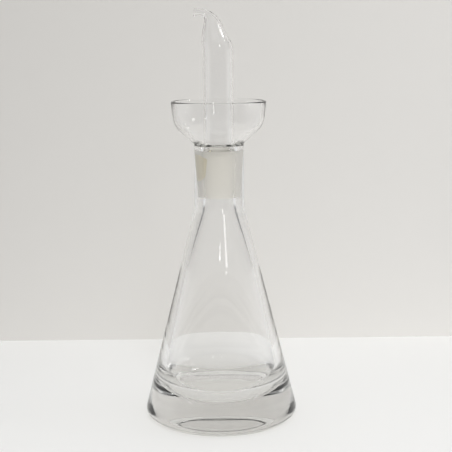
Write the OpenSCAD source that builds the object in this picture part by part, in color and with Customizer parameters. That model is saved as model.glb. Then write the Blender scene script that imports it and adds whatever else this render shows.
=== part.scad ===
// Clear glass oil bottle with a funnel mouth and a lift-out glass pourer.
// Millimetres. +Z is up, the origin is the centre of the base on the table,
// the pourer's beak points to -X.

/* [Base] */
// Widest diameter of the bottle, just above the table
base_d = 80; // [74:1:90]
// Rounding of the bottom edge
base_round = 4.4; // [2:0.2:6]
// Diameter of the shallow hollow in the underside
hollow_d = 60; // [40:1:64]
// Depth of that hollow in its middle
hollow_depth = 1.5; // [0.5:0.1:2.5]
// Height of the cavity's floor above the table
floor_h = 10.8; // [8:0.2:17]
// How much lower the floor is in its middle
floor_dish = 0.2; // [0:0.1:2]

/* [Side and neck] */
// Height at which the sloping side meets the neck
shoulder_h = 111; // [100:0.5:120]
// Outside diameter of the neck
neck_d = 25.8; // [25:0.1:29]
// Radius of the blend from the side into the neck
shoulder_blend = 12; // [3:0.5:16]
// Length of the neck, from the side up to the funnel
neck_len = 33.9; // [30:0.1:40]

/* [Funnel mouth] */
// Outside diameter of the rim
rim_d = 49.2; // [44:0.2:56]
// Height of the funnel above the neck
funnel_h = 21.7; // [18:0.1:27]
// Height of the funnel's lower, sloping part
funnel_slope_h = 8.7; // [7:0.1:12]
// How much narrower the funnel is where its slope turns up into its wall
funnel_draft = 1.5; // [0.5:0.1:3]
// Rounding of the funnel between slope and wall
funnel_round = 12; // [5:0.5:14]
// Thickness of the glass at the rim
rim_wall = 1.5; // [1.2:0.1:2.4]
// Thickness of the funnel's glass where it turns
funnel_wall = 2; // [1.4:0.1:3]

/* [Cavity] */
// Thickness of the side at the height of the floor, measured level as if the floor met it square
side_wall_low = 5.6; // [4:0.2:8]
// Rounding between the floor and the side
corner_round = 16; // [6:0.5:18]
// Thickness of the side where the cavity bends in towards the neck, measured level
side_wall_bend = 3.2; // [2:0.1:5]
// Height of that bend
bend_h = 80; // [60:1:92]

/* [Ground joint] */
// Diameter of the socket at its mouth
joint_d = 17.2; // [16.4:0.1:18.4]
// Loss of diameter for each millimetre of depth
joint_taper = 0.1; // [0.08:0.005:0.12]
// Depth of the ground socket
socket_depth = 26.8; // [22:0.2:29]
// Radial gap between the plug and the socket
joint_gap = 0.05; // [0.03:0.01:0.08]
// Drop from the socket's mouth to the plug's shoulder
plug_drop = 2.7; // [1:0.1:4]
// Length of the ground plug
plug_len = 16.6; // [13:0.2:20]

/* [Pourer] */
// Outside diameter of the tube
tube_d = 15.5; // [14.6:0.1:15.7]
// Wall of the tube
tube_wall = 1.3; // [1:0.1:1.6]
// Height of the straight tube above the socket's mouth
tube_h = 48.1; // [40:0.1:60]
// Height of the beak above the straight tube
beak_h = 19.4; // [14:0.2:24]
// Sideways reach of the nozzle from the tube's axis
beak_reach = 11.6; // [10:0.1:16]
// Outside diameter of the nozzle
nozzle_d = 4.2; // [3.4:0.1:5]
// Bore of the nozzle
nozzle_bore = 2.2; // [1.4:0.1:2.6]

/* [Drip slot] */
// Height of the slot's deep part in the plug
slot_h = 9; // [6:0.2:11]
// Distance of the slot's flat bottom from the axis, at its top
slot_x = 5.2; // [4.8:0.1:6]
// Outward lean of the slot's flat bottom, from its top to its foot
slot_lean = 0.7; // [0.2:0.1:1]
// Distance from the plug's shoulder to the top of the deep part
slot_drop = 3.8; // [3:0.1:5]
// Depth of the drip nick through the plug's shoulder
nick_depth = 0.4; // [0.2:0.1:0.7]

/* [Hidden] */
$fn = 96;

// Largest turn, in degrees, between two points of a rounded edge
arc_step = 11;
// Share of an edge that a rounding may use, when the next corner is rounded too and when it is sharp
shared_edge = 0.48;
whole_edge = 0.96;
// A cut runs this far past the glass
past = 1;
glass_tint = [0.86, 0.92, 0.90, 0.45];
pourer_tint = [0.82, 0.90, 0.92, 0.55];

// Heights from the table up
neck_top = shoulder_h + neck_len;
rim_z = neck_top + funnel_h;
turn_z = neck_top + funnel_slope_h;
// The socket's mouth lies this far below the funnel's foot
mouth_sink = 1;
mouth_z = neck_top - mouth_sink;
socket_foot_z = mouth_z - socket_depth;
plug_top_z = mouth_z - plug_drop;
plug_foot_z = plug_top_z - plug_len;
beak_z = mouth_z + tube_h;

// Radii
neck_r = neck_d / 2;
rim_r = rim_d / 2;
turn_r = rim_r - funnel_draft;
tube_r = tube_d / 2;
tube_bore_r = tube_r - tube_wall;

// The side is a straight cone. Its line meets the base plane outside base_d, because the edge is rounded:
// foot_r puts the widest point of the rounding at base_d / 2.
function side_angle(foot) = atan2(shoulder_h, foot - neck_r);
function rounded_foot(angle) = base_d / 2 + base_round * (tan(90 - angle / 2) - 1);
foot_r = rounded_foot(side_angle(rounded_foot(side_angle(base_d / 2))));

function side_r(z) = foot_r + (neck_r - foot_r) * z / shoulder_h;
function socket_r(z) = joint_d / 2 - joint_taper / 2 * (mouth_z - z);
function plug_r(z) = socket_r(z) - joint_gap;

// --- rounded outlines -------------------------------------------------------

function unit(v) = v / norm(v);
function flat(p) = [p.x, p.y];
function is_round(p) = len(p) > 2 && p[2] > 0;
function room(p, q) = norm(flat(p) - flat(q)) * (is_round(q) ? shared_edge : whole_edge);

// The points of one corner b between a and c: an arc of radius b[2], or b itself
function corner(a, b, c) = !is_round(b) ? [flat(b)] :
    let (u = unit(flat(a) - flat(b)), v = unit(flat(c) - flat(b)),
         half = acos(u * v) / 2,
         run = min(b[2] / tan(half), room(b, a), room(b, c)),
         rad = run * tan(half),
         mid = flat(b) + unit(u + v) * rad / sin(half),
         from = flat(b) + u * run - mid, to = flat(b) + v * run - mid,
         a0 = atan2(from.y, from.x),
         turn = (atan2(to.y, to.x) - a0 + 540) % 360 - 180,
         steps = max(1, ceil(abs(turn) / arc_step)))
    [for (i = [0 : steps]) mid + rad * [cos(a0 + turn * i / steps), sin(a0 + turn * i / steps)]];

// A closed outline from corners [r, z] or [r, z, rounding]
function outline(pts) = let (n = len(pts))
    [for (i = [0 : n - 1]) each corner(pts[(i + n - 1) % n], pts[i], pts[(i + 1) % n])];

// --- bottle -----------------------------------------------------------------

module bottle() {
    throat_round = 2;
    flare_round = 43;
    bend_round = 60;
    mouth_round = 1.5;
    // The funnel's inner corner stands funnel_wall inside both faces of its outer corner
    slope_angle = atan2(turn_z - neck_top, turn_r - neck_r);
    wall_angle = atan2(rim_z - turn_z, rim_r - turn_r);
    mid_angle = (slope_angle + wall_angle) / 2;
    turn_offset = funnel_wall / cos((wall_angle - slope_angle) / 2);
    // The bore opens out into the cavity a little below the socket
    flare_drop = 5.6;
    flare_z = socket_foot_z - flare_drop;
    hollow_steps = 6;
    hollow = [for (i = [0 : hollow_steps]) let (share = i / hollow_steps)
        [hollow_d / 2 * share, hollow_depth * (1 - share * share)]];
    color(glass_tint)
        rotate_extrude()
            polygon(outline(concat(hollow, [
                [foot_r, 0, base_round],
                [neck_r, shoulder_h, shoulder_blend],
                [neck_r, neck_top, throat_round],
                [turn_r, turn_z, funnel_round],
                [rim_r, rim_z, rim_wall * shared_edge],
                [rim_r - rim_wall, rim_z, rim_wall * shared_edge],
                [turn_r - turn_offset * sin(mid_angle), turn_z + turn_offset * cos(mid_angle), funnel_round - funnel_wall],
                [joint_d / 2, mouth_z, mouth_round],
                [socket_r(socket_foot_z), socket_foot_z],
                [socket_r(socket_foot_z), flare_z, flare_round],
                [side_r(bend_h) - side_wall_bend, bend_h, bend_round],
                [side_r(floor_h) - side_wall_low, floor_h, corner_round],
                [0, floor_h - floor_dish]
            ])));
}

// --- pourer -----------------------------------------------------------------

sweep_sides = 32;
sweep_rings = 24;

// The beak's stations: share of the reach, share of the height, share of the way from nozzle to tube
// radius, and the lean in degrees of the section's axis from the vertical towards the nozzle
beak_stations = [
    [0, 0, 1, 0], [0.01, 0.07, 0.997, 0.5], [0.03, 0.14, 0.98, 1], [0.07, 0.227, 0.94, 2], [0.12, 0.319, 0.82, 4],
    [0.18, 0.462, 0.68, 7], [0.225, 0.596, 0.54, 11], [0.26, 0.718, 0.39, 15], [0.31, 0.82, 0.23, 21],
    [0.39, 0.892, 0.08, 33], [0.5, 0.949, 0, 57], [0.69, 0.991, 0, 76], [1, 1, 0, 81]
];

// Catmull-Rom curve through the stations, t from 0 to 1
function station(i) = beak_stations[min(max(i, 0), len(beak_stations) - 1)];
function along(t) = let (
        n = len(beak_stations) - 1, k = min(floor(t * n), n - 1), f = t * n - k,
        p0 = station(k - 1), p1 = station(k), p2 = station(k + 1), p3 = station(k + 2))
    (2 * p1 + (p2 - p0) * f + (2 * p0 - 5 * p1 + 4 * p2 - p3) * f * f
        + (3 * p1 - p0 - 3 * p2 + p3) * f * f * f) / 2;

function beak_x(t) = -beak_reach * along(t).x;
function beak_rise(t) = beak_z + beak_h * along(t).y;
function foot_ring(r) = [for (i = [0 : sweep_sides - 1]) let (a = 360 * i / sweep_sides)
    [r * cos(a), r * sin(a), beak_z - foot_depth]];
function beak_ring(t, r) = let (lean = along(t)[3])
    [for (i = [0 : sweep_sides - 1]) let (a = 360 * i / sweep_sides)
        [beak_x(t) + r * cos(a) * cos(lean), r * sin(a), beak_rise(t) + r * cos(a) * sin(lean)]];

// The beak's foot is let into the end of the straight tube, just inside its surfaces
foot_margin = 0.03;
foot_depth = 0.6;
beak_foot_r = tube_r - foot_margin;
beak_foot_bore_r = tube_bore_r / cos(180 / sweep_sides) + foot_margin;
function beak_r(t) = nozzle_d / 2 + (beak_foot_r - nozzle_d / 2) * along(t).z;
function beak_bore_r(t) = nozzle_bore / 2 + (beak_foot_bore_r - nozzle_bore / 2) * along(t).z;

// The beak is one closed shell: up its outside, over the lip, and down its bore
module beak() {
    outside = [for (j = [0 : sweep_rings]) beak_ring(j / sweep_rings, beak_r(j / sweep_rings))];
    bore = [for (j = [sweep_rings : -1 : 0]) beak_ring(j / sweep_rings, beak_bore_r(j / sweep_rings))];
    rings = concat([foot_ring(beak_foot_r)], outside, bore, [foot_ring(beak_foot_bore_r)]);
    loops = len(rings);
    polyhedron(
        points = [for (ring = rings) each ring],
        faces = [for (j = [0 : loops - 1], i = [0 : sweep_sides - 1])
            let (a = j * sweep_sides, b = (j + 1) % loops * sweep_sides, n = (i + 1) % sweep_sides)
            each [[a + i, b + i, b + n], [a + i, b + n, a + n]]],
        convexity = 8);
}

module tube_and_plug() {
    shoulder_round = 0.6;
    edge_round = 0.3;
    shoulder_rise = 1.1;
    rotate_extrude()
        polygon(outline([
            [tube_bore_r, plug_foot_z, edge_round],
            [plug_r(plug_foot_z), plug_foot_z, edge_round],
            [plug_r(plug_top_z), plug_top_z, edge_round],
            [tube_r, plug_top_z + shoulder_rise, shoulder_round],
            [tube_r, beak_z],
            [tube_bore_r, beak_z]
        ]));
}

// The slot is ground straight across the plug on the beak's side. Its flat bottom breaks into
// the bore, and its upper lip rises to a nick in the plug's shoulder, where the drips run in.
module drip_slot() {
    slot_top_z = plug_top_z - slot_drop;
    slot_foot_z = slot_top_z - slot_h;
    lip_x = plug_r(plug_top_z) - nick_depth;
    lip_z = slot_top_z + 1.8;
    foot_rise = 3;
    foot_round = 3;
    lip_round = 0.8;
    width = 3 * tube_d;
    translate([0, width / 2, 0])
        rotate([90, 0, 0])
            linear_extrude(width)
                polygon(outline([
                    [-slot_x, slot_top_z, lip_round],
                    [-lip_x, lip_z, lip_round],
                    [-lip_x, mouth_z + past],
                    [-tube_d, mouth_z + past],
                    [-tube_d, slot_foot_z - foot_rise],
                    [-plug_r(slot_foot_z), slot_foot_z - foot_rise],
                    [-slot_x - slot_lean, slot_foot_z, foot_round]
                ]));
}

module pourer() {
    color(pourer_tint)
        union() {
            difference() {
                tube_and_plug();
                drip_slot();
            }
            beak();
        }
}

bottle();
pourer();
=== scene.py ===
"""A clear glass oil bottle with a funnel mouth, and its lift-out glass pourer with a bent beak."""

import math

import bmesh
import bpy
from mathutils import Matrix, Vector


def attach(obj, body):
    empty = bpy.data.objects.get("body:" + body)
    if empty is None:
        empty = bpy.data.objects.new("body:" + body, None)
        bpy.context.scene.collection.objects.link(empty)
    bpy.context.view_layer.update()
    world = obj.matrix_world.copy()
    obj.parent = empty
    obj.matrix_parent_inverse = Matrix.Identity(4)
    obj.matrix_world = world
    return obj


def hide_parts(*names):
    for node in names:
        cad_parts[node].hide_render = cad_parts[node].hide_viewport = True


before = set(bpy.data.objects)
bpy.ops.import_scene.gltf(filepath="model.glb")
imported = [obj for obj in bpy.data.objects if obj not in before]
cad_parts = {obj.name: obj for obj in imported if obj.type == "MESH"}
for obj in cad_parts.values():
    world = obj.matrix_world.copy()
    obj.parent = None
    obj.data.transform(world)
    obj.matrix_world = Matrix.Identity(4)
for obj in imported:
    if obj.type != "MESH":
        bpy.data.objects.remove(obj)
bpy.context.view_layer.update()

scene = bpy.context.scene
MM = 0.001

# ---------------------------------------------------------------- sizes in mm, as in the solids

# Bottle, outside
BASE_R = 40.0
BASE_ROUND = 4.4
HOLLOW_R = 30.0
HOLLOW_DEPTH = 1.5
HOLLOW_STEPS = 12
SHOULDER_Z = 111.0
NECK_R = 12.9
SHOULDER_BLEND = 12.0
NECK_TOP = 144.9
THROAT_ROUND = 2.0

# Funnel mouth
RIM_R = 24.6
RIM_Z = 166.6
RIM_WALL = 1.5
TURN_R = 23.1
TURN_Z = 153.6
FUNNEL_ROUND = 12.0
FUNNEL_WALL = 2.0
# The inner corner of the turn lies this many walls inward and upward from the outer one
TURN_IN, TURN_UP = 0.95, 0.5
MOUTH_ROUND = 1.5

# Ground joint: a cone of 1:10 on the diameter
MOUTH_R = 8.6
MOUTH_Z = 143.9
TAPER = 0.05
SOCKET_FOOT = 117.1
JOINT_GAP = 0.05
PLUG_TOP = 141.2
PLUG_FOOT = 124.6
PLUG_EDGE_ROUND = 0.3
PLUG_SHOULDER = 1.1
PLUG_SHOULDER_ROUND = 0.6
GRIND_MARGIN = 0.2

# Cavity
FLARE_Z = 111.5
FLARE_ROUND = 43.0
BEND_Z = 80.0
BEND_ROUND = 60.0
BEND_WALL = 3.2
CORNER_WALL = 5.6
CORNER_ROUND = 16.0
FLOOR_Z = 10.8
FLOOR_DISH = 0.2

# Pourer
TUBE_R = 7.75
TUBE_WALL = 1.3
BEAK_Z = 192.0
BEAK_H = 19.4
BEAK_REACH = 11.6
NOZZLE_R = 2.1
NOZZLE_BORE_R = 1.1

# Drip slot
SLOT_TOP = 137.4
SLOT_FOOT = 128.4
SLOT_X = 5.2
SLOT_LEAN = 0.7
SLOT_FOOT_ROUND = 3.0
SLOT_EDGE_ROUND = 0.8
SLOT_LIP_RISE = 1.8
SLOT_NICK = 0.4
# The patch of the socket in front of the slot, on which the slot's shade is painted darker and
# yellower, as (x, z) corners, and the distance from the axis beyond which the socket is cut for it
PATCH_SIDE = 3.0
SLOT_SHADE_PATCH = [
    (-8.0, 139.2), (-SLOT_X, SLOT_TOP), (-SLOT_X - SLOT_LEAN, SLOT_FOOT),
    (-7.6, 125.6), (-9.0, 126.5), (-9.0, 139.5),
]

# Steps round a turned piece, and the longest step along its outline
TURNS = 160
LONGEST = 2.0
ARC_STEP = math.radians(7)
# Share of an edge that a rounding may use, when the next corner is rounded too and when it is sharp
SHARED_EDGE = 0.48
WHOLE_EDGE = 0.96
# Distance in metres within which points are merged: in any piece, and in the drawn pourer
MERGE = 1e-7
MERGE_POURER = 2e-6
# How far a ground face's corners may be from its height limits and from its cone
HEIGHT_SLACK = 0.01
CONE_SLACK = 0.03


def side_r(z):
    """Radius of the bottle's sloping side at a height. Its sharp foot lies outside the rounded base by
    an amount that depends on the slope, so the two are settled in turns."""
    angle = math.atan2(SHOULDER_Z, BASE_R - NECK_R)
    for _ in range(2):
        foot = BASE_R + BASE_ROUND * (math.tan(math.pi / 2 - angle / 2) - 1)
        angle = math.atan2(SHOULDER_Z, foot - NECK_R)
    return foot + (NECK_R - foot) * z / SHOULDER_Z


def socket_r(z):
    """Radius of the ground socket at a height."""
    return MOUTH_R - TAPER * (MOUTH_Z - z)


def plug_r(z):
    """Radius of the ground plug at a height."""
    return socket_r(z) - JOINT_GAP


# ---------------------------------------------------------------- outlines


def rounded(corners):
    """An outline from corners (r, z) or (r, z, rounding): each rounding becomes an arc."""
    line = []
    for i, corner in enumerate(corners):
        here = Vector(corner[:2])
        rounding = corner[2] if len(corner) > 2 else 0
        if not rounding or i in (0, len(corners) - 1):
            line.append(here)
            continue
        sides = [corners[i - 1], corners[i + 1]]
        ways = [Vector(s[:2]) - here for s in sides]
        room = min(
            way.length * (SHARED_EDGE if len(side) > 2 else WHOLE_EDGE)
            for way, side in zip(ways, sides)
        )
        u, v = ways[0].normalized(), ways[1].normalized()
        half = u.angle(v) / 2
        run = min(rounding / math.tan(half), room)
        radius = run * math.tan(half)
        centre = here + (u + v).normalized() * radius / math.sin(half)
        start, end = here + u * run - centre, here + v * run - centre
        first = math.atan2(start.y, start.x)
        turn = (math.atan2(end.y, end.x) - first + math.pi) % (2 * math.pi) - math.pi
        steps = max(2, math.ceil(abs(turn) / ARC_STEP))
        for k in range(steps + 1):
            a = first + turn * k / steps
            line.append(centre + radius * Vector((math.cos(a), math.sin(a))))
    return line


def spaced(line):
    """The same outline with no step longer than LONGEST."""
    fine = [line[0]]
    for a, b in zip(line, line[1:]):
        steps = max(1, math.ceil((b - a).length / LONGEST))
        fine += [a.lerp(b, k / steps) for k in range(1, steps + 1)]
    return fine


def turned(bm, line):
    """Spins an outline once round the Z axis."""
    verts = [bm.verts.new((p.x * MM, 0, p.y * MM)) for p in line]
    edges = [bm.edges.new(pair) for pair in zip(verts, verts[1:])]
    bmesh.ops.spin(
        bm, geom=verts + edges, cent=(0, 0, 0), axis=(0, 0, 1), dvec=(0, 0, 0),
        angle=2 * math.pi, steps=TURNS, use_merge=True,
    )
    bmesh.ops.remove_doubles(bm, verts=bm.verts, dist=MERGE)


def piece(name, bm, materials):
    """Makes an object at the origin from a bmesh, with its faces outwards."""
    bmesh.ops.remove_doubles(bm, verts=bm.verts, dist=MERGE)
    bmesh.ops.recalc_face_normals(bm, faces=bm.faces)
    mesh = bpy.data.meshes.new(name)
    bm.to_mesh(mesh)
    bm.free()
    obj = bpy.data.objects.new(name, mesh)
    scene.collection.objects.link(obj)
    for material in materials:
        mesh.materials.append(material)
    return obj


# Places of the ground glass and of the ground glass with the slot's painted shade among an object's
# materials
GROUND_INDEX, SLOT_SHADE_INDEX = 1, 2


def grind(obj, cone, low, high):
    """Gives the second material to the faces that lie on a cone between two heights."""
    mesh = obj.data
    for face in mesh.polygons:
        corners = [mesh.vertices[v].co / MM for v in face.vertices]
        on_cone = all(
            low - HEIGHT_SLACK <= c.z <= high + HEIGHT_SLACK
            and abs(math.hypot(c.x, c.y) - cone(c.z)) < CONE_SLACK
            for c in corners
        )
        face.material_index = GROUND_INDEX if on_cone else 0


def paint_slot_shade(obj):
    """Cuts the patch's outline into the ground socket and gives it the third material, which paints the
    shade of the slot behind it.
    """
    bm = bmesh.new()
    bm.from_mesh(obj.data)
    corners = [Vector(c) for c in SLOT_SHADE_PATCH]
    sides = []
    for a, b in zip(corners, corners[1:] + corners[:1]):
        way = (b - a).normalized()
        sides.append((Vector((a.x, 0, a.y)) * MM, Vector((-way.y, 0, way.x))))
    for place, outward in sides:
        ground = [
            f for f in bm.faces
            if f.material_index == GROUND_INDEX and f.calc_center_median().x < -PATCH_SIDE * MM
        ]
        around = {e for f in ground for e in f.edges} | {v for f in ground for v in f.verts}
        bmesh.ops.bisect_plane(
            bm, geom=ground + list(around), dist=MERGE, plane_co=place, plane_no=outward,
        )
    for face in bm.faces:
        middle = face.calc_center_median()
        if face.material_index == GROUND_INDEX and all((middle - p).dot(n) < 0 for p, n in sides):
            face.material_index = SLOT_SHADE_INDEX
    bm.to_mesh(obj.data)
    bm.free()


def smooth(obj, sharp=40):
    """Smooth shading, with an edge kept crisp where it turns more than the given degrees."""
    obj.data.shade_smooth()
    obj.data.set_sharp_from_angle(angle=math.radians(sharp))


# ---------------------------------------------------------------- glass


def add(tree, kind, **settings):
    """A node with its settings and its inputs, which are values or another node's output."""
    node = tree.nodes.new(kind)
    inputs = settings.pop("inputs", {})
    for key, value in settings.items():
        setattr(node, key, value)
    for key, value in inputs.items():
        if isinstance(value, bpy.types.NodeSocket):
            tree.links.new(value, node.inputs[key])
        else:
            node.inputs[key].default_value = value
    return node


def make_hot_work_group():
    """Blown and drawn glass: its surface is smooth, but it wavers a little."""
    group = bpy.data.node_groups.new("hot worked surface", "ShaderNodeTree")
    face = group.interface
    for name, value in (("Size", 60.0), ("Depth", 0.01)):
        face.new_socket(name, in_out="INPUT", socket_type="NodeSocketFloat").default_value = value
    face.new_socket("Normal", in_out="OUTPUT", socket_type="NodeSocketVector")
    given = group.nodes.new("NodeGroupInput")
    result = group.nodes.new("NodeGroupOutput")
    place = add(group, "ShaderNodeTexCoord")
    waves = add(group, "ShaderNodeTexNoise", inputs={
        "Vector": place.outputs["Object"], "Scale": given.outputs["Size"], "Detail": 1.0,
        "Roughness": 0.4,
    })
    bump = add(group, "ShaderNodeBump", inputs={
        "Height": waves.outputs["Fac"], "Strength": given.outputs["Depth"], "Distance": 0.0002,
    })
    group.links.new(bump.outputs["Normal"], result.inputs["Normal"])
    return group


def make_ground_group():
    """Ground glass: a fine grit, with faint rings where the grinding turned."""
    group = bpy.data.node_groups.new("ground surface", "ShaderNodeTree")
    face = group.interface
    for name, value in (("Roughness", 0.55), ("Unevenness", 0.08), ("Grit", 0.3)):
        face.new_socket(name, in_out="INPUT", socket_type="NodeSocketFloat").default_value = value
    face.new_socket("Roughness", in_out="OUTPUT", socket_type="NodeSocketFloat")
    face.new_socket("Normal", in_out="OUTPUT", socket_type="NodeSocketVector")
    given = group.nodes.new("NodeGroupInput")
    result = group.nodes.new("NodeGroupOutput")
    place = add(group, "ShaderNodeTexCoord")
    rings = add(group, "ShaderNodeMapping", inputs={
        "Vector": place.outputs["Object"], "Scale": (60.0, 60.0, 1500.0),
    })
    ring_noise = add(group, "ShaderNodeTexNoise", inputs={
        "Vector": rings.outputs["Vector"], "Scale": 1.0, "Detail": 2.0,
    })
    spread = add(group, "ShaderNodeMath", operation="MULTIPLY_ADD", inputs={
        0: ring_noise.outputs["Fac"], 1: given.outputs["Unevenness"],
        2: given.outputs["Roughness"],
    })
    grit = add(group, "ShaderNodeTexNoise", inputs={
        "Vector": place.outputs["Object"], "Scale": 6000.0, "Detail": 1.0,
    })
    bump = add(group, "ShaderNodeBump", inputs={
        "Height": grit.outputs["Fac"], "Strength": given.outputs["Grit"], "Distance": 0.00005,
    })
    group.links.new(spread.outputs["Value"], result.inputs["Roughness"])
    group.links.new(bump.outputs["Normal"], result.inputs["Normal"])
    return group


HOT_WORK = make_hot_work_group()
GROUND = make_ground_group()

GLASS_INDEX = 1.5
# Tint at each surface of the light that passes straight through
CLEAR_TINT = (0.94, 0.937, 0.927, 1)
# What the inside of clear glass leaves of the light along its way
INSIDE_TINT = (0.5, 0.5, 0.47, 1)
INSIDE_DENSITY = 6.0


def glass(name, tint, transmission, group, settings):
    """Glass that lets the lamps' light and the light from nearby surfaces through. Clear glass darkens
    with the length of the way through it."""
    material = bpy.data.materials.new(name)
    material.use_nodes = True
    tree = material.node_tree
    shader = tree.nodes["Principled BSDF"]
    surface = add(tree, "ShaderNodeGroup", node_tree=group, inputs=settings)
    shader.inputs["Base Color"].default_value = (*tint, 1)
    shader.inputs["IOR"].default_value = GLASS_INDEX
    shader.inputs["Roughness"].default_value = 0.0
    shader.inputs["Transmission Weight"].default_value = transmission
    for output in surface.outputs:
        tree.links.new(output, shader.inputs[output.name])
    path = add(tree, "ShaderNodeLightPath")
    clear = add(tree, "ShaderNodeBsdfTransparent", inputs={"Color": CLEAR_TINT})
    lit = add(tree, "ShaderNodeMixShader", inputs={
        0: path.outputs["Is Shadow Ray"], 1: shader.outputs["BSDF"], 2: clear.outputs["BSDF"],
    })
    near = add(tree, "ShaderNodeMixShader", inputs={
        0: path.outputs["Is Diffuse Ray"], 1: lit.outputs["Shader"], 2: clear.outputs["BSDF"],
    })
    tree.links.new(near.outputs["Shader"], tree.nodes["Material Output"].inputs["Surface"])
    if transmission == 1.0:
        inside = add(tree, "ShaderNodeVolumeAbsorption", inputs={
            "Color": INSIDE_TINT, "Density": INSIDE_DENSITY,
        })
        tree.links.new(inside.outputs["Volume"], tree.nodes["Material Output"].inputs["Volume"])
    return material


BLOWN = glass("blown glass", (1.0, 1.0, 1.0), 1.0, HOT_WORK, {"Size": 70.0, "Depth": 0.01})
DRAWN = glass("drawn glass tube", (1.0, 1.0, 1.0), 1.0, HOT_WORK, {"Size": 120.0, "Depth": 0.004})
GROUND_SOCKET = glass("ground glass of the socket", (0.94, 0.915, 0.855), 0.5, GROUND,
                      {"Roughness": 0.55, "Unevenness": 0.06, "Grit": 0.3})
GROUND_PLUG = glass("ground glass of the plug", (0.9, 0.88, 0.83), 0.5, GROUND,
                    {"Roughness": 0.5, "Unevenness": 0.06, "Grit": 0.3})
# Painted shade: the socket in front of the drip slot is painted darker and yellower, as the slot's
# shade would show through it
SLOT_SHADE_GLASS = glass("ground glass with painted slot shade", (0.80, 0.745, 0.58), 0.3, GROUND,
              {"Roughness": 0.5, "Unevenness": 0.06, "Grit": 0.3})

# ---------------------------------------------------------------- bottle


def make_bottle():
    """One closed skin: up the outside, over the rim, and down the inside to the cavity's floor."""
    foot_r = side_r(0)
    bore_r = socket_r(SOCKET_FOOT)
    shares = [k / HOLLOW_STEPS for k in range(HOLLOW_STEPS + 1)]
    hollow = [(HOLLOW_R * share, HOLLOW_DEPTH * (1 - share ** 2)) for share in shares]
    outline = hollow + [
        (foot_r, 0, BASE_ROUND),
        (NECK_R, SHOULDER_Z, SHOULDER_BLEND),
        (NECK_R, NECK_TOP, THROAT_ROUND),
        (TURN_R, TURN_Z, FUNNEL_ROUND),
        (RIM_R, RIM_Z, SHARED_EDGE * RIM_WALL),
        (RIM_R - RIM_WALL, RIM_Z, SHARED_EDGE * RIM_WALL),
        (TURN_R - TURN_IN * FUNNEL_WALL, TURN_Z + TURN_UP * FUNNEL_WALL,
         FUNNEL_ROUND - FUNNEL_WALL),
        (MOUTH_R, MOUTH_Z, MOUTH_ROUND),
        (bore_r, SOCKET_FOOT),
        (bore_r, FLARE_Z, FLARE_ROUND),
        (side_r(BEND_Z) - BEND_WALL, BEND_Z, BEND_ROUND),
        (side_r(FLOOR_Z) - CORNER_WALL, FLOOR_Z, CORNER_ROUND),
        (0, FLOOR_Z - FLOOR_DISH),
    ]
    bm = bmesh.new()
    turned(bm, spaced(rounded(outline)))
    obj = piece("bottle_body", bm, [BLOWN, GROUND_SOCKET, SLOT_SHADE_GLASS])
    grind(obj, socket_r, SOCKET_FOOT, MOUTH_Z - MOUTH_ROUND)
    paint_slot_shade(obj)
    smooth(obj)
    return obj


# ---------------------------------------------------------------- pourer

# Stations of the beak: share of its reach, share of its height, share of the way from the nozzle's
# radius to the tube's, and the lean of its section in degrees
BEAK = [
    (0, 0, 1, 0), (0.01, 0.07, 0.997, 0.5), (0.03, 0.14, 0.98, 1), (0.07, 0.227, 0.94, 2),
    (0.12, 0.319, 0.82, 4), (0.18, 0.462, 0.68, 7), (0.225, 0.596, 0.54, 11),
    (0.26, 0.718, 0.39, 15), (0.31, 0.82, 0.23, 21), (0.39, 0.892, 0.08, 33),
    (0.5, 0.949, 0, 57), (0.69, 0.991, 0, 76), (1, 1, 0, 81),
]
BEAK_RINGS = 96
LIP_RINGS = 12


def along(t):
    """The beak's four shares at t, from 0 at the tube to 1 at the lip, on one smooth curve."""
    last = len(BEAK) - 1
    k = min(int(t * last), last - 1)
    f = t * last - k
    p = [BEAK[min(max(i, 0), last)] for i in (k - 1, k, k + 1, k + 2)]
    return [
        (2 * b + (c - a) * f + (2 * a - 5 * b + 4 * c - d) * f ** 2
         + (3 * b - a - 3 * c + d) * f ** 3) / 2
        for a, b, c, d in zip(*p)
    ]


def section(t, tube_r, nozzle_r, forward=0.0, wider=0.0):
    """The matrix that takes a unit circle to the beak's section at t."""
    reach, rise, share, lean = along(t)
    radius = nozzle_r + (tube_r - nozzle_r) * share + wider
    place = Vector((-BEAK_REACH * reach, 0, BEAK_Z + BEAK_H * rise))
    turn = Matrix.Rotation(-math.radians(lean), 4, "Y")
    place += turn @ Vector((0, 0, forward))
    return Matrix.Translation(place * MM) @ turn @ Matrix.Diagonal((radius * MM, radius * MM, 1, 1))


def beak_sections():
    """Up the beak's outside, over its fire-polished lip, and back down its bore."""
    bore_r = TUBE_R - TUBE_WALL
    half_wall = (NOZZLE_R - NOZZLE_BORE_R) / 2
    steps = [k / BEAK_RINGS for k in range(BEAK_RINGS + 1)]
    outside = [section(t, TUBE_R, NOZZLE_R) for t in steps]
    lip = []
    middle_r = NOZZLE_R - half_wall
    for k in range(1, LIP_RINGS):
        a = math.pi * k / LIP_RINGS
        lip.append(section(1, middle_r, middle_r, forward=half_wall * math.sin(a),
                           wider=half_wall * math.cos(a)))
    bore = [section(t, bore_r, NOZZLE_BORE_R) for t in reversed(steps)]
    return outside + lip + bore


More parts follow.
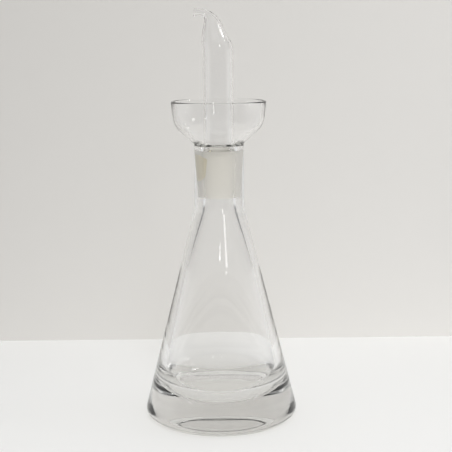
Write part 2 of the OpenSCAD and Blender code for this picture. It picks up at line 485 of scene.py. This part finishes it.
def make_slot_cutter():
    """A bar that reaches past the plug on both sides, whose inner face is the slot's flat bottom."""
    lip_x, lip_z = plug_r(PLUG_TOP) - SLOT_NICK, SLOT_TOP + SLOT_LIP_RISE
    foot_z, top_z = SLOT_FOOT - SLOT_FOOT_ROUND, MOUTH_Z + 1
    outer_x = -2 * TUBE_R
    outline = rounded([
        (outer_x, foot_z), (-plug_r(SLOT_FOOT), foot_z),
        (-SLOT_X - SLOT_LEAN, SLOT_FOOT, SLOT_FOOT_ROUND), (-SLOT_X, SLOT_TOP, SLOT_EDGE_ROUND),
        (-lip_x, lip_z, SLOT_EDGE_ROUND), (-lip_x, top_z), (outer_x, top_z),
    ])
    bm = bmesh.new()
    width = 3 * TUBE_R * MM
    face = bm.faces.new([bm.verts.new((p.x * MM, -width, p.y * MM)) for p in outline])
    pushed = bmesh.ops.extrude_face_region(bm, geom=[face])["geom"]
    moved = [v for v in pushed if isinstance(v, bmesh.types.BMVert)]
    bmesh.ops.translate(bm, vec=(0, 2 * width, 0), verts=moved)
    return piece("slot_cutter", bm, [DRAWN])


def make_pourer():
    """The plug and tube are turned, the beak grows from the tube's end rings, and the slot is cut."""
    bore_r = TUBE_R - TUBE_WALL
    outline = [
        (TUBE_R, BEAK_Z),
        (TUBE_R, PLUG_TOP + PLUG_SHOULDER, PLUG_SHOULDER_ROUND),
        (plug_r(PLUG_TOP), PLUG_TOP, PLUG_EDGE_ROUND),
        (plug_r(PLUG_FOOT), PLUG_FOOT, PLUG_EDGE_ROUND),
        (bore_r, PLUG_FOOT, PLUG_EDGE_ROUND),
        (bore_r, BEAK_Z),
    ]
    bm = bmesh.new()
    turned(bm, spaced(rounded(outline)))
    mouth = [
        e for e in bm.edges
        if e.is_boundary and all(math.hypot(*v.co.xy) > (TUBE_R - 0.1) * MM for v in e.verts)
    ]
    sections = beak_sections()
    for before, after in zip(sections, sections[1:]):
        grown = bmesh.ops.extrude_edge_only(bm, edges=mouth)["geom"]
        mouth = [e for e in grown if isinstance(e, bmesh.types.BMEdge)]
        verts = [v for v in grown if isinstance(v, bmesh.types.BMVert)]
        mouth = [e for e in mouth if e.is_boundary]
        bmesh.ops.transform(bm, matrix=after @ before.inverted(), verts=verts)
    bmesh.ops.remove_doubles(bm, verts=bm.verts, dist=MERGE_POURER)
    obj = piece("pourer_tube", bm, [DRAWN, GROUND_PLUG])

    cutter = make_slot_cutter()
    cut = obj.modifiers.new("drip slot", "BOOLEAN")
    cut.operation, cut.solver, cut.object = "DIFFERENCE", "EXACT", cutter
    whole = bpy.data.meshes.new_from_object(obj.evaluated_get(bpy.context.evaluated_depsgraph_get()))
    obj.modifiers.clear()
    obj.data = whole
    whole.name = "pourer_tube"
    bpy.data.objects.remove(cutter)
    grind(obj, plug_r, PLUG_FOOT + GRIND_MARGIN, PLUG_TOP - GRIND_MARGIN)
    smooth(obj)
    return obj


bottle = make_bottle()
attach(bottle, "bottle")
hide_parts("bottle")

pourer = make_pourer()
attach(pourer, "pourer")
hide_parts("pourer")

# ---------------------------------------------------------------- table, backdrop, lamps and camera

HALF_WIDTH = 0.21
BACK_Y = 0.144
FRONT_Y = -0.45
TABLE_Z = -0.0002
# Share of the second colour in the wall's painted light, brighter downward and to the right: its change
# per metre, and its value at the origin
LIGHT_FADE_PER_METRE = (1.6, 0, -2.6)
LIGHT_FADE_AT_ORIGIN = 0.8


def paint(name, colour, one_sided=False, painted_light=None):
    """Plain matt paint. Painted light is a second, brighter colour it passes into downward and to the
    right, a painted brightening where more light falls. One-sided paint is clear from behind."""
    material = bpy.data.materials.new(name)
    material.use_nodes = True
    tree = material.node_tree
    shader = tree.nodes["Principled BSDF"]
    shader.inputs["Base Color"].default_value = (*colour, 1)
    shader.inputs["Roughness"].default_value = 0.9
    shader.inputs["Specular IOR Level"].default_value = 0.2
    if painted_light:
        place = add(tree, "ShaderNodeTexCoord")
        light_along = add(tree, "ShaderNodeVectorMath", operation="DOT_PRODUCT", inputs={
            0: place.outputs["Object"], 1: LIGHT_FADE_PER_METRE,
        })
        share = add(tree, "ShaderNodeMath", operation="ADD", use_clamp=True, inputs={
            0: light_along.outputs["Value"], 1: LIGHT_FADE_AT_ORIGIN,
        })
        mixed = add(tree, "ShaderNodeMix", data_type="RGBA", inputs={
            "Factor": share.outputs["Value"], "A": (*colour, 1), "B": (*painted_light, 1),
        })
        tree.links.new(mixed.outputs["Result"], shader.inputs["Base Color"])
    if one_sided:
        geometry = add(tree, "ShaderNodeNewGeometry")
        clear = add(tree, "ShaderNodeBsdfTransparent")
        both = add(tree, "ShaderNodeMixShader", inputs={
            0: geometry.outputs["Backfacing"], 1: shader.outputs["BSDF"], 2: clear.outputs["BSDF"],
        })
        tree.links.new(both.outputs["Shader"], tree.nodes["Material Output"].inputs["Surface"])
    return material


def board(name, size, matrix, material):
    """A flat rectangle of the given size, put in place by a matrix."""
    bm = bmesh.new()
    bmesh.ops.create_grid(bm, x_segments=1, y_segments=1, size=0.5,
                          matrix=matrix @ Matrix.Diagonal((*size, 1, 1)))
    mesh = bpy.data.meshes.new(name)
    bm.to_mesh(mesh)
    bm.free()
    mesh.materials.append(material)
    obj = bpy.data.objects.new(name, mesh)
    scene.collection.objects.link(obj)
    return obj


WALL_HEIGHT, WALL_MIDDLE_Z = 1.0, 0.3
board("table_top", (2 * HALF_WIDTH, BACK_Y - FRONT_Y),
      Matrix.Translation((0, (BACK_Y + FRONT_Y) / 2, TABLE_Z)),
      paint("table paint", (0.88, 0.88, 0.87)))
# The wall's paint is painted light: darker at the top left and brighter towards the bottom right, where
# more light falls
board("back_wall", (2 * HALF_WIDTH, WALL_HEIGHT),
      Matrix.Translation((0, BACK_Y, WALL_MIDDLE_Z)) @ Matrix.Rotation(math.radians(90), 4, "X"),
      paint("wall paint", (0.655, 0.64, 0.615), one_sided=True, painted_light=(0.82, 0.805, 0.78)))


def lamp(name, place, target, size, watts):
    """A square soft lamp aimed at a point."""
    light = bpy.data.lights.new(name, "AREA")
    light.energy, light.size = watts, size
    obj = bpy.data.objects.new(name, light)
    scene.collection.objects.link(obj)
    obj.location = place
    obj.rotation_euler = (Vector(target) - Vector(place)).to_track_quat("-Z", "Y").to_euler()
    return obj


key = lamp("key_softbox", (0.0899, -0.8557, 1.2287), (0, 0, 0), 0.5, 12.2)
key.visible_glossy = key.visible_transmission = False
lamp("side_lamp", (0.34, -0.94, 0.42), (0, 0, 0.1), 0.10, 0.25)
lamp("small_lamp", (0.0, -0.556, 0.26), (0, 0, 0.1), 0.02, 0.02)
lamp("beak_lamp", (0.43, 0, 0.45), (0, 0, 0.2), 0.08, 0.3)

world = bpy.data.worlds.new("studio")
scene.world = world
world.use_nodes = True
sky = world.node_tree


def share_of(value, scale, start):
    """A share between 0 and 1 that rises with a value from a start, by the scale for each unit."""
    return add(sky, "ShaderNodeMath", operation="MULTIPLY_ADD", use_clamp=True,
               inputs={0: value, 1: scale, 2: -start * scale}).outputs["Value"]


def blend(share, low, high):
    """From low to high as a share goes from 0 to 1."""
    return add(sky, "ShaderNodeMix", inputs={"Factor": share, "A": low, "B": high}).outputs["Result"]


# Brightness of the room round the stage. The glass shows it by direction, the objects' light from it is
# even, and so is what the camera sees.
BEHIND = 0.5
SIDES_BELOW = 0.8
SIDES_ABOVE = 0.3
IN_FRONT = 0.35
OVERHEAD = 0.35
AS_LIGHT = 0.42
TO_CAMERA = 0.5

looking = add(sky, "ShaderNodeTexCoord")
way = add(sky, "ShaderNodeSeparateXYZ", inputs={0: looking.outputs["Generated"]}).outputs
sideways = add(sky, "ShaderNodeMath", operation="ABSOLUTE", inputs={0: way["X"]}).outputs["Value"]
frontward = add(sky, "ShaderNodeMath", operation="MULTIPLY", inputs={
    0: way["Y"], 1: -1.0,
}).outputs["Value"]
flank = blend(share_of(way["Z"], 10.0, 0.03), SIDES_BELOW, SIDES_ABOVE)
room = blend(share_of(sideways, 2.5, 0.3), BEHIND, flank)
room = blend(share_of(frontward, 3.0, 0.1), room, IN_FRONT)
room = blend(share_of(way["Z"], 4.0, 0.3), room, OVERHEAD)
seen = add(sky, "ShaderNodeLightPath")
room = blend(seen.outputs["Is Diffuse Ray"], room, AS_LIGHT)
room = blend(seen.outputs["Is Camera Ray"], room, TO_CAMERA)
sky.links.new(room, sky.nodes["Background"].inputs["Color"])

FOCAL_PX = 1068.0
PICTURE_PX = 452
# Column in which the bottle's axis stands, the camera's place, and its drop and roll in degrees
AXIS_PX = 219.6
CAMERA_PLACE = (0, -0.55, 0.197)
CAMERA_DROP = 9.85
CAMERA_ROLL = -0.5
camera = bpy.data.cameras.new("camera")
camera.sensor_width = 36
camera.lens = camera.sensor_width * FOCAL_PX / PICTURE_PX
view_from = bpy.data.objects.new("camera", camera)
scene.collection.objects.link(view_from)
yaw = math.atan((AXIS_PX - PICTURE_PX / 2) / FOCAL_PX)
view_from.matrix_world = (
    Matrix.Translation(CAMERA_PLACE) @ Matrix.Rotation(yaw, 4, "Z")
    @ Matrix.Rotation(math.radians(90 - CAMERA_DROP), 4, "X")
    @ Matrix.Rotation(math.radians(CAMERA_ROLL), 4, "Z")
)
scene.camera = view_from

scene.view_settings.view_transform = "Standard"
# Light that has turned this often in the base's thick glass is lost, which keeps its corners dark
BOUNCES = 12
CLEAR_BOUNCES = 16
scene.cycles.max_bounces = BOUNCES
scene.cycles.transmission_bounces = BOUNCES
scene.cycles.glossy_bounces = BOUNCES
scene.cycles.transparent_max_bounces = CLEAR_BOUNCES
